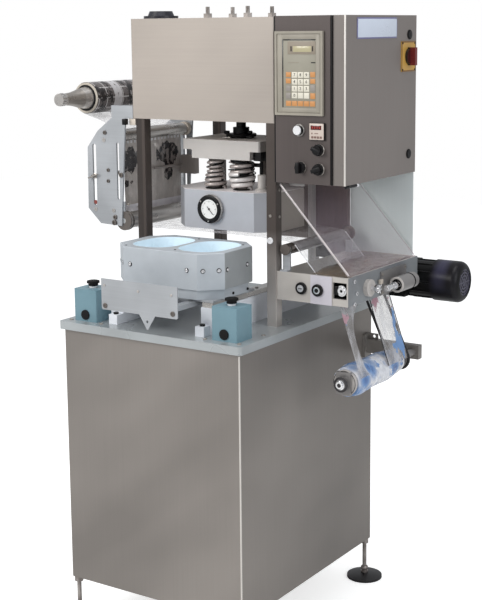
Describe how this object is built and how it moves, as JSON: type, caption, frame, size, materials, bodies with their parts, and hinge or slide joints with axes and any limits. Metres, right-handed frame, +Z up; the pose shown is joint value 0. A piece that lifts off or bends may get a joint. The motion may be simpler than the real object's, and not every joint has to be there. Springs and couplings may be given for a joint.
{
  "type": "tray sealer",
  "caption": "Semi-automatic tray sealer: cabinet base, pull-out tray drawer, heated press head, film reel on the left, waste film rewind and control cabinet on the right.",
  "frame": {"origin": "on the floor, under the middle of the machine's overall width; the table's middle lies 68 mm to the left of it", "axes": "+X to the operator's right, +Y from the operator's side to the back, +Z up"},
  "size_m": [1.14, 0.852, 1.85],
  "materials": {
    "cabinet_paint": "satin enamel",
    "table_steel": "fine brushed",
    "housing_steel": "satin",
    "post_steel": "satin",
    "control_paint": "satin",
    "panel_steel": "brushed",
    "keypad_plastic": "matte",
    "fitting_black": "satin",
    "label_yellow": "matte",
    "switch_red": "satin",
    "die_aluminium": "machined",
    "head_aluminium": "machined",
    "liner_plastic": "gloss",
    "zinc_steel": "bright zinc",
    "rail_white": "satin",
    "box_enamel": "satin enamel",
    "plate_steel": "fine brushed",
    "film_print": "gloss film",
    "guard_clear": "clear sheet",
    "motor_black": "satin",
    "mount_cream": "satin",
    "belt_rubber": "matte",
    "roller_rubber": "satin",
    "roller_steel": "turned"
  },
  "bodies": {
    "machine": {"base_cabinet": "cabinet_paint", "table_top": "table_steel", "foot_front_left": "zinc_steel", "foot_rear_left": "zinc_steel", "foot_front_right": "zinc_steel", "foot_rear_right": "zinc_steel", "post_front_left": "post_steel", "post_front_right": "post_steel", "post_rear_left": "post_steel", "rear_column": "post_steel", "top_housing": "housing_steel", "top_fittings": "zinc_steel", "control_cabinet": "control_paint", "control_panel": "panel_steel", "keypad_bezel": "keypad_plastic", "panel_controls": "fitting_black", "drawer_rails": "rail_white", "control_box_left": "box_enamel", "control_box_right": "box_enamel", "web_plate_front": "plate_steel", "web_plate_rear": "plate_steel", "guide_rollers": "roller_steel", "reel_arm": "plate_steel", "drive_frame": "plate_steel", "nip_rollers": "roller_rubber", "drive_fittings": "zinc_steel", "gear_motor": "motor_black", "outfeed_guard": "guard_clear", "rear_panel": "housing_steel", "rear_wall": "housing_steel", "rail_strips": "plate_steel", "web_mounts": "mount_cream", "film_sensor": "fitting_black", "outfeed_brackets": "plate_steel", "slip_clutch": "zinc_steel", "film_web": "film_print", "reel_bracket": "plate_steel", "drive_belt": "belt_rubber", "waste_film": "film_print"},
    "drawer": {"drawer_carriage": "plate_steel", "tray_die": "die_aluminium", "tray_liners": "liner_plastic", "front_plate": "plate_steel"},
    "press_head": {"press_platen": "head_aluminium", "press_rod": "zinc_steel", "press_columns": "zinc_steel", "head_block": "head_aluminium", "pressure_gauge": "fitting_black"},
    "side_door": {"side_door": "control_paint", "door_locks": "zinc_steel", "switch_plate": "label_yellow"},
    "switch_handle": {"switch_handle": "switch_red"},
    "unwind_reel": {"unwind_shaft": "zinc_steel", "film_roll": "film_print"},
    "waste_reel": {"waste_shaft": "zinc_steel", "waste_roll": "film_print"},
    "outfeed_roller": {"outfeed_roller": "roller_steel"},
    "button_left": {"mushroom_button_left": "fitting_black"},
    "button_right": {"mushroom_button_right": "fitting_black"}
  },
  "joints": [
    {"name": "drawer_slide", "type": "slide", "parent": "machine", "child": "drawer", "axis": [0, 1, 0], "range_m": [0, 0.292]},
    {"name": "press_slide", "type": "slide", "parent": "machine", "child": "press_head", "axis": [0, 0, -1], "range_m": [0, 0.015], "deforming": ["film_web"]},
    {"name": "side_door_hinge", "type": "hinge", "parent": "machine", "child": "side_door", "pos_m": [0.4285, -0.127, 1.586], "axis": [0, 0, -1], "range_deg": [0, 110]},
    {"name": "switch_turn", "type": "hinge", "parent": "side_door", "child": "switch_handle", "pos_m": [0.432, 0.249, 1.699], "axis": [1, 0, 0], "range_deg": [0, 90]},
    {"name": "unwind_spin", "type": "hinge", "parent": "machine", "child": "unwind_reel", "pos_m": [-0.521, 0.09, 1.5745], "axis": [0, 1, 0], "continuous": true},
    {"name": "waste_spin", "type": "hinge", "parent": "machine", "child": "waste_reel", "pos_m": [0.412, 0.09, 0.789], "axis": [0, 1, 0], "continuous": true},
    {"name": "outfeed_spin", "type": "hinge", "parent": "machine", "child": "outfeed_roller", "pos_m": [0.229, 0.09, 1.1602], "axis": [0, 1, 0], "continuous": true},
    {"name": "button_left_push", "type": "slide", "parent": "machine", "child": "button_left", "axis": [0, 0, -1], "range_m": [0, 0.005], "stiffness_N_per_m": 1000, "springref_m": -0.004},
    {"name": "button_right_push", "type": "slide", "parent": "machine", "child": "button_right", "axis": [0, 0, -1], "range_m": [0, 0.005], "stiffness_N_per_m": 1000, "springref_m": -0.004}
  ]
}
